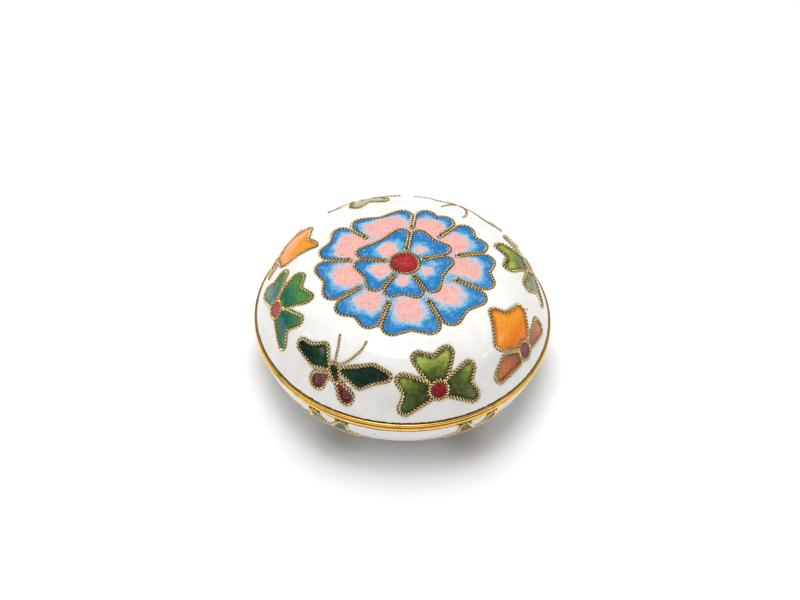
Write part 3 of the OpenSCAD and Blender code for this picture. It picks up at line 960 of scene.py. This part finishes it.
def lathe(name, section, slot, body, uneven=0.0, groove=None):
    """Ring or shell turned from a closed section of (radius, height), listed counter-clockwise."""
    section = np.array(section, float)
    azimuth = 2 * math.pi * np.arange(TURNS) / TURNS
    spokes = np.column_stack([np.cos(azimuth), np.sin(azimuth)])
    wave = [uneven * noise.noise(Vector((3 * x, 3 * y, len(name)))) for x, y in spokes]
    on_axis = section[:, 0] < 1e-6
    verts, index = [], {}
    for j, (r, z) in enumerate(section):
        for i, (x, y) in enumerate(spokes):
            if on_axis[j] and i:
                index[i, j] = index[0, j]
                continue
            index[i, j] = len(verts)
            reach = r - wave[i] * (r > 1)
            verts.append((reach * x, reach * y, z))
    faces = []
    for i in range(TURNS):
        for j in range(len(section)):
            k = (j + 1) % len(section)
            if on_axis[j] and on_axis[k]:
                continue
            n = (i + 1) % TURNS
            corners = [index[i, j], index[n, j], index[n, k], index[i, k]]
            faces.append(tuple(dict.fromkeys(corners)))
    grooves = np.zeros(len(verts))
    if groove:
        for (_, j), at in index.items():
            grooves[at] = groove(*section[j])
    piece = build(name, verts, faces, MATERIALS[slot], {"groove": grooves})
    piece.data.set_sharp_from_angle(angle=math.radians(40))
    mount(piece, body, name, slot)


def arc(x, z, radius, start, stop, count):
    """Points of an arc in a section, from one angle to another in degrees."""
    return [
        (x + radius * math.cos(math.radians(a)), z + radius * math.sin(math.radians(a)))
        for a in np.linspace(start, stop, count)
    ]


SOFT_CORNER = 0.12
# How dark the band's edges get, partly dirt and partly painted shade of the seams
EDGE_SHADE_AND_DIRT = 0.62
RIM_WAVE = 0.015


def rim_band(name, body, inner_r, bottom, height):
    """Rim band with a rounded outer edge and softened inner corners, darker along its edges and
    inner faces, partly dirt and partly painted shade of the seams.
    """
    edge = height / 2
    low_corner, high_corner = bottom + SOFT_CORNER, bottom + height - SOFT_CORNER
    section = arc(RIM_R - edge, bottom + edge, edge, -90, 90, 17)
    section += arc(inner_r + SOFT_CORNER, high_corner, SOFT_CORNER, 90, 180, 5)
    section += arc(inner_r + SOFT_CORNER, low_corner, SOFT_CORNER, 180, 270, 5)

    def groove(r, z):
        # Painted shade with dirt: the mark rises towards the top and bottom edges, where the bands
        # meet at the seam, and on the inner faces
        inner_shade_and_dirt = 0.3 if r < RIM_R - height else 0
        return EDGE_SHADE_AND_DIRT * abs(z - bottom - edge) / edge + inner_shade_and_dirt
    lathe(name, section, "gilt_brass", body, RIM_WAVE, groove)


SECTION_STEP = 0.3
# The last run of the base's wall, up to its top, and how far it leans out
WALL_END = 0.05
WALL_LEAN = 0.02


def layer(surface, depth, thickness):
    """Upper and lower line of a layer between two depths under a surface."""
    s = np.linspace(0.0, surface.length, int(surface.length / SECTION_STEP) + 1)
    upper = surface.at(s, 0 * s, -depth)[:, [0, 2]]
    lower = surface.at(s, 0 * s, -depth - thickness)[:, [0, 2]]
    upper[:, 0] = np.maximum(upper[:, 0], 0)
    lower[:, 0] = np.maximum(lower[:, 0], 0)
    return upper, lower


def lid_layer(name, depth, thickness, slot):
    """Layer of the lid from the axis to the top of the lid's rim."""
    upper, lower = layer(LID, depth, thickness)
    for sheet in (upper, lower):
        sheet[0, 0] = 0
        sheet[-1, 1] = SEAM + LID_RIM_H
    lathe(name, np.vstack([upper[::-1], lower]), slot, "lid")


def base_layer(name, depth, thickness, slot, top):
    """Layer of the base from the axis to the height top."""
    sheets = []
    for sheet in layer(BASE, depth, thickness):
        wall = sheet[sheet[:, 1] < top - WALL_END]
        end = (wall[-1, 0] + WALL_LEAN, top)
        sheets.append(np.vstack([[(0, sheet[0, 1])], wall, [end]]))
    lathe(name, np.vstack([sheets[0], sheets[1][::-1]]), slot, "base")


lid_layer("lid_shell", ENAMEL_T, SHELL_T, "copper")
lid_layer("lid_lining_enamel", ENAMEL_T + SHELL_T, LINING_T, "lining_enamel")
base_layer("base_shell", ENAMEL_T, SHELL_T, "copper", SEAM - BASE_RIM_H)
base_layer("base_lining_enamel", ENAMEL_T + SHELL_T, LINING_T, "lining_enamel", COLLAR_LOW)
rim_band("lid_rim", "lid", COLLAR_R + LID_CLEARANCE, SEAM, LID_RIM_H)
rim_band("base_rim", "base", COLLAR_R, SEAM - BASE_RIM_H, BASE_RIM_H)

COLLAR_EDGE = COLLAR_T / 2
lathe(
    "base_collar",
    arc(COLLAR_R - COLLAR_EDGE, COLLAR_TOP - COLLAR_EDGE, COLLAR_EDGE, 0, 180, 13)
    + [(COLLAR_R - COLLAR_T, COLLAR_LOW), (COLLAR_R, COLLAR_LOW)],
    "gilt_brass", "base",
)
FOOT_T = FOOT_R - UNDERSIDE_R
FOOT_EDGE = 0.25
FOOT_TAPER = 0.3
lathe(
    "foot_ring",
    arc(FOOT_R - FOOT_EDGE, FOOT_EDGE, FOOT_EDGE, -90, 0, 6)
    + [(FOOT_R - FOOT_TAPER, FOOT_TOP), (FOOT_R - FOOT_T, FOOT_TOP)]
    + arc(FOOT_R - FOOT_T + FOOT_EDGE, FOOT_EDGE, FOOT_EDGE, 180, 270, 6),
    "gilt_brass", "base",
    # Darker towards its top, where it tucks under the bowl: dirt and painted shade
    groove=lambda r, z: 0.9 if z > 1 else 0.0,
)
UNDER_RINGS = np.linspace(0, UNDERSIDE_R, 28)
UNDER_SAG = 0.08
lathe(
    "base_underside_enamel",
    [(r, UNDERSIDE_LOW + UNDER_SAG * (1 - (r / UNDERSIDE_R) ** 6)) for r in UNDER_RINGS]
    + [(UNDERSIDE_R, UNDERSIDE_LOW + LINING_T), (0, UNDERSIDE_LOW + LINING_T)],
    "lining_enamel", "base",
)

# ---- Motifs of glass and wire ----


def spread_tone(centre, reach):
    """Tone that falls from 1 at a centre to 0 at a reach from it."""
    def tone(points):
        distance = np.hypot(points[:, 0] - centre[0], points[:, 1] - centre[1])
        return np.clip(1 - distance / reach, 0, 1)
    return tone


def leaf_tone_and_light(points):
    """Lighter towards the tips of the leaves, as the enamel is graded, and lighter up the dome,
    most in the upper leaf: painted light on the side that faces the light.
    """
    # Painted light: the term in the plane's upward direction lightens the leaves higher up the
    # dome and darkens the lower ones
    return np.clip(np.hypot(points[:, 0], points[:, 1]) / 7.5 - 0.2 + points[:, 1] / 12, 0, 1)


def even_tone(points):
    return np.full(len(points), 0.5)


def grown(cells, grow):
    return [outline(stops, grow) for stops in cells]


# Wires end this far outside the middle of the wire that they meet
CENTRE_STOP = 0.12
WING_STOP = 0.1
FEELER_SCALE = 0.8


def flower_wires(name, plane, petals, body):
    """Wires round the petals and the centre of one flower."""
    wires = WireMesh(plane.surface)
    wire_outlines(wires, plane, petals, [circle(CENTRE_R + CENTRE_STOP)])
    wires.add(plane.drop(circle(CENTRE_R)), True)
    wires.finish(name, body)


def flower(prefix, plane, groups, centre_slot):
    """One flower on the lid: its wires, the glass of its petals and its centre."""
    petals = [stops for _, cells, _ in groups for stops in cells]
    flower_wires(prefix + "_wires", plane, petals, "lid")
    around_centre = grown(FLOWER_CENTRE, GLASS_GAP)
    for suffix, cells, slot in groups:
        fill(prefix + suffix, [plane], grown(cells, -GLASS_GAP), around_centre, slot, leaf_tone_and_light)
    fill(
        prefix + "_centre", [plane], grown(FLOWER_CENTRE, -GLASS_GAP), [], centre_slot,
        spread_tone((0.2, 0.2), 2.2), dip=0.05,
    )


def butterfly(prefix, plane):
    """One butterfly on the lid: its wires, antennae, body and wings."""
    body_edge = grown(BODY, WING_STOP)
    upper_edge = grown(UPPER_WINGS, WING_STOP)
    wires = WireMesh(plane.surface)
    wire_outlines(wires, plane, BODY, [])
    wire_outlines(wires, plane, UPPER_WINGS, body_edge)
    wire_outlines(wires, plane, LOWER_WINGS, upper_edge + body_edge)
    wires.finish(prefix + "_wires", "lid")
    feelers = WireMesh(plane.surface, FEELER_SCALE)
    for points in ANTENNAE:
        start, middle, stop = np.array(points, float)
        pull = 2 * middle - (start + stop) / 2
        t = np.linspace(0, 1, 30)[:, None]
        line = (1 - t) ** 2 * start + 2 * t * (1 - t) * pull + t**2 * stop
        line = line[~inside_any(line, body_edge + upper_edge)]
        feelers.add(plane.drop(line), False, bedded=False)
    feelers.finish(prefix + "_antennae", "lid")
    around_body = grown(BODY, GLASS_GAP)
    around_both = grown(UPPER_WINGS, GLASS_GAP) + around_body
    fill(
        prefix + "_body", [plane], grown(BODY, -GLASS_GAP), [], "dark_green_enamel", even_tone,
        dip=0.04,
    )
    fill(
        prefix + "_upper_wings", [plane], grown(UPPER_WINGS, -GLASS_GAP), around_body,
        "dark_green_enamel", spread_tone((0, -1), 9),
    )
    fill(
        prefix + "_lower_wings", [plane], grown(LOWER_WINGS, -GLASS_GAP), around_both,
        "maroon_enamel", spread_tone((0.5, -4.5), 4),
    )


GREEN_GROUPS = [("_leaves", GREEN_LEAVES, "green_enamel")]
TEAL_GROUPS = [("_leaves", TEAL_LEAVES, "teal_enamel")]
MAIN_PETAL = ("_petal", ORANGE_MAIN, "orange_enamel")
ORANGE_GROUPS = [MAIN_PETAL, ("_side_petals", ORANGE_SIDES, "amber_enamel")]
SHORT_ORANGE_GROUPS = [MAIN_PETAL, ("_side_petals", ORANGE_SHORT_SIDES, "amber_enamel")]
FLOWER_PARTS = {
    "front_green": (GREEN_GROUPS, "crimson_enamel"),
    "right_green": (GREEN_GROUPS, "crimson_enamel"),
    "back_green": (GREEN_GROUPS, "crimson_enamel"),
    "left_teal": (TEAL_GROUPS, "red_enamel"),
    "right_orange": (ORANGE_GROUPS, "maroon_enamel"),
    "left_orange": (SHORT_ORANGE_GROUPS, "maroon_enamel"),
}
for key, (groups, centre_slot) in FLOWER_PARTS.items():
    flower(key, on_lid(*FLOWERS[key]), groups, centre_slot)
for key, spot in BUTTERFLIES.items():
    butterfly(key + "_butterfly", on_lid(*spot))

# The base's flowers: wires one by one, glass gathered by colour as in the frame
BASE_PLANES = [on_base(*spot) for spot in BASE_FLOWERS]
for number, plane in enumerate(BASE_PLANES, 1):
    flower_wires(f"base_flower_{number}_wires", plane, SMALL_LEAVES, "base")
for name, planes, slot in (
    ("base_teal_leaves", BASE_PLANES[0::2], "teal_enamel"),
    ("base_green_leaves", BASE_PLANES[1::2], "green_enamel"),
):
    fill(
        name, planes, grown(SMALL_LEAVES, -GLASS_GAP), grown(FLOWER_CENTRE, GLASS_GAP), slot,
        leaf_tone_and_light, "base", dip=0.08, spacing=0.24,
    )
fill(
    "base_flower_centres", BASE_PLANES, grown(FLOWER_CENTRE, -GLASS_GAP), [], "red_enamel",
    spread_tone((0.2, 0.2), 2.2), "base", dip=0.05, spacing=0.24,
)

# ---- Rosette ----

LOOP_R = 0.4
LOOP_POINTS = 16
LOOP_INSET = 0.05


def rosette_line(petals, creases, core):
    """One closed wire round a ring of petals; it turns in a small loop at each crease."""
    neck = math.asin(CREASE_GAP * 2 * HALF_WIRE / LOOP_R)
    loop_at = core - LOOP_INSET
    cut_r = loop_at + LOOP_R * math.cos(neck)
    line = []
    for stops, crease in zip(petals, creases[1:] + creases[:1]):
        loop = softened_loop(outline(stops))
        runs = open_runs(loop, np.hypot(loop[:, 0], loop[:, 1]) < cut_r)
        line.append(runs[0][0])
        a = math.radians(crease)
        spoke = np.array([math.cos(a), math.sin(a)])
        across = np.array([-math.sin(a), math.cos(a)])
        turns = np.linspace(-neck, neck - 2 * math.pi, LOOP_POINTS)
        line.append(
            loop_at * spoke
            + LOOP_R * (np.outer(np.cos(turns), spoke) + np.outer(np.sin(turns), across))
        )
    return np.vstack(line)


def rosette_wire(name, line):
    wires = WireMesh(LID)
    wires.add(ON_TOP.drop(line), True)
    wires.finish(name, "lid")


def rosette_region(petals, core, grow):
    return grown(petals, grow) + [circle(core + grow)]


def petal_tone(creases, foot_r, heart_r, heart_size, loops):
    """Pink along the foot of each petal, paler round it, blue at the lobes and wires."""
    ends = creases[1:] + [creases[0] + 360]
    middles = [math.radians((a + b) / 2) for a, b in zip(creases, ends)]
    along = np.linspace(foot_r, heart_r, 4)
    hearts = np.array([(r * math.cos(a), r * math.sin(a)) for a in middles for r in along])
    border = np.vstack(loops)

    def tone(points):
        flat = np.column_stack([points, 0 * points[:, 0]])
        ragged = 0.9 * ripple(flat, 1.4, 5.5) + 1.6 * ripple(flat, 7.0, 2.6)
        from_heart = smooth((nearest(points, hearts) + ragged) / (2 * heart_size))
        lining = 1 - smooth(nearest(points, border) / 1.0)
        far = smooth((np.hypot(points[:, 0], points[:, 1]) - heart_r) / (1.5 * heart_size))
        tone_here = 0.02 + 0.62 * from_heart + 0.3 * far + 0.35 * lining * (0.3 + far)
        return np.clip(tone_here, 0, 1)
    return tone


rosette_wire("rosette_outer_wires", rosette_line(OUTER_PETALS, OUTER_CREASES, OUTER_CORE_R))
rosette_wire("rosette_inner_wires", rosette_line(INNER_PETALS, INNER_CREASES, INNER_CORE_R))
rosette_wire("rosette_centre_ring", circle(CENTRE_RING_R))
fill(
    "rosette_outer_enamel", [ON_TOP],
    rosette_region(OUTER_PETALS, OUTER_CORE_R, -GLASS_GAP),
    rosette_region(INNER_PETALS, INNER_CORE_R, GLASS_GAP),
    "blue_enamel",
    petal_tone(OUTER_CREASES, 8.8, 10.4, 2.2, grown(OUTER_PETALS, -GLASS_GAP)),
)
fill(
    "rosette_inner_enamel", [ON_TOP],
    rosette_region(INNER_PETALS, INNER_CORE_R, -GLASS_GAP),
    [circle(CENTRE_RING_R + GLASS_GAP)],
    "blue_enamel",
    petal_tone(INNER_CREASES, 3.4, 4.5, 1.4, grown(INNER_PETALS, -GLASS_GAP)),
)
fill(
    "rosette_centre_enamel", [ON_TOP], [circle(CENTRE_RING_R - GLASS_GAP)], [], "red_enamel",
    spread_tone((0.3, 0.4), 3.2), dip=0.06,
)

# ---- White fields ----


FIELD_SPACING = 0.42
WAVINESS = 0.03
FIELD_CLIMB = 0.03
# The firescale begins this far from the mouth and is full after the fade
RIM_ZONE = 1.2
RIM_FADE = 0.6
FOOT_GAP = 0.02


def field(name, surface, spots, outer, inner, body):
    """White enamel over a whole surface, cut out round the motifs."""
    cut = [surface.unroll(plane.drop(loop)) for plane, cells in spots for loop in cells]
    flat, triangles, border, distance = patch([outer], cut + inner, FIELD_SPACING)
    even = surface.roll(flat, 0 * distance)
    wave = WAVINESS * (ripple(even, 6.0, 1.7) + 0.5 * ripple(even, 2.4, 4.2))
    rise = wave - WAVINESS * 1.6 + FIELD_CLIMB * (1 - smooth(distance / MENISCUS))
    top = surface.roll(flat, np.minimum(rise, 0))
    bottom = surface.roll(flat, np.full(len(flat), SOLE_GAP - ENAMEL_T))
    reach = np.hypot(flat[:, 0], flat[:, 1]) - surface.start
    near_rim = smooth((reach - surface.length + RIM_ZONE) / RIM_FADE)
    attributes = {"edge": distance, "tone": near_rim}
    piece = slab(name, top, bottom, triangles, border, MATERIALS["white_enamel"], attributes)
    mount(piece, body, name, "white_enamel")


flower_spots = []
for key, (groups, _) in FLOWER_PARTS.items():
    cells = [stops for _, group, _ in groups for stops in group]
    flower_spots.append((on_lid(*FLOWERS[key]), grown(cells + FLOWER_CENTRE, GLASS_GAP)))
for spot in BUTTERFLIES.values():
    flower_spots.append((on_lid(*spot), grown(UPPER_WINGS + LOWER_WINGS + BODY, GLASS_GAP)))
flower_spots.append((ON_TOP, rosette_region(OUTER_PETALS, OUTER_CORE_R, GLASS_GAP)))

field("lid_field_enamel", LID, flower_spots, circle(LID.length), [], "lid")
field(
    "base_field_enamel", BASE,
    [(plane, grown(SMALL_LEAVES + FLOWER_CENTRE, GLASS_GAP)) for plane in BASE_PLANES],
    circle(BASE.start + BASE.length), [circle(BASE.start + FOOT_GAP)], "base",
)

# ---- Studio ----

SEAM_CENTRE = Vector((0, 0, SEAM * MM))
VIEW_DISTANCE = 300 * MM
VIEW_ELEVATION = math.radians(45.7)
VIEW_ROLL = math.radians(2.32)
LENS = 79.9
AIM_SIDE = -0.45 * MM
AIM_UP = 2.5 * MM
LIT_POINT = Vector((0, 0, 10 * MM))
# Strength of the surrounding light at the horizon and overhead
SKY_LOW = 0.1
SKY_HIGH = 0.44


def add_camera():
    data = bpy.data.cameras.new("camera")
    data.lens = LENS
    data.clip_start = 0.01
    camera = bpy.data.objects.new("camera", data)
    bpy.context.scene.collection.objects.link(camera)
    away = Vector((0, -math.cos(VIEW_ELEVATION), math.sin(VIEW_ELEVATION)))
    right = Vector((1, 0, 0))
    up = away.cross(right)
    turned_right = right * math.cos(VIEW_ROLL) + up * math.sin(VIEW_ROLL)
    turned_up = up * math.cos(VIEW_ROLL) - right * math.sin(VIEW_ROLL)
    shift = turned_right * AIM_SIDE + turned_up * AIM_UP
    where = SEAM_CENTRE + away * VIEW_DISTANCE + shift
    axes = Matrix((turned_right, turned_up, away)).transposed().to_4x4()
    camera.matrix_world = Matrix.Translation(where) @ axes
    bpy.context.scene.camera = camera


def add_light(data, position):
    """The light as an object aimed at the box."""
    light = bpy.data.objects.new(data.name, data)
    bpy.context.scene.collection.objects.link(light)
    facing = (LIT_POINT - Vector(position)).to_track_quat("-Z", "Y")
    light.matrix_world = Matrix.Translation(position) @ facing.to_matrix().to_4x4()
    return light


def add_softbox(name, size, power, position):
    data = bpy.data.lights.new(name, "AREA")
    data.shape = "RECTANGLE"
    data.size, data.size_y = size
    data.energy = power
    add_light(data, position)


def add_key(strength, spread, position):
    """Broad light, even over the whole floor, that the gloss of the glass doesn't show."""
    data = bpy.data.lights.new("key", "SUN")
    data.energy = strength
    data.angle = math.radians(spread)
    add_light(data, position).visible_glossy = False


def add_floor():
    size, steps = 2400, 24
    grid = np.linspace(-size / 2, size / 2, steps + 1)
    verts = [(x, y, 0) for y in grid for x in grid]
    row = steps + 1
    corners = [j * row + i for j in range(steps) for i in range(steps)]
    faces = [(a, a + 1, a + row + 1, a + row) for a in corners]
    floor = build("floor", verts, faces, floor_paper())


def add_world():
    """Surroundings that brighten upward; behind the floor's edge the camera sees plain white."""
    world = bpy.data.worlds.new("studio")
    world.use_nodes = True
    nodes, links = world.node_tree.nodes, world.node_tree.links
    background = nodes["Background"]
    background.inputs["Color"].default_value = (1, 1, 1, 1)
    split = nodes.new("ShaderNodeSeparateXYZ")
    links.new(nodes.new("ShaderNodeTexCoord").outputs["Generated"], split.inputs["Vector"])
    climb = nodes.new("ShaderNodeMapRange")
    climb.inputs["To Min"].default_value = SKY_LOW
    climb.inputs["To Max"].default_value = SKY_HIGH
    links.new(split.outputs["Z"], climb.inputs["Value"])
    seen = nodes.new("ShaderNodeMath")
    seen.operation = "MAXIMUM"
    links.new(climb.outputs["Result"], seen.inputs[0])
    links.new(nodes.new("ShaderNodeLightPath").outputs["Is Camera Ray"], seen.inputs[1])
    links.new(seen.outputs[0], background.inputs["Strength"])
    bpy.context.scene.world = world


add_camera()
add_world()
add_floor()
add_key(1.6, 48, (-0.08, 0.8, 1.85))
add_softbox("top_softbox", (0.4, 0.4), 2.4, (-0.05, -0.1, 0.85))
add_softbox("left_strip", (0.4, 0.08), 0.2, (-0.6, -0.2, 0.35))
add_softbox("right_strip", (0.3, 0.06), 0.15, (0.6, -0.1, 0.3))
bpy.context.scene.view_settings.view_transform = "Standard"
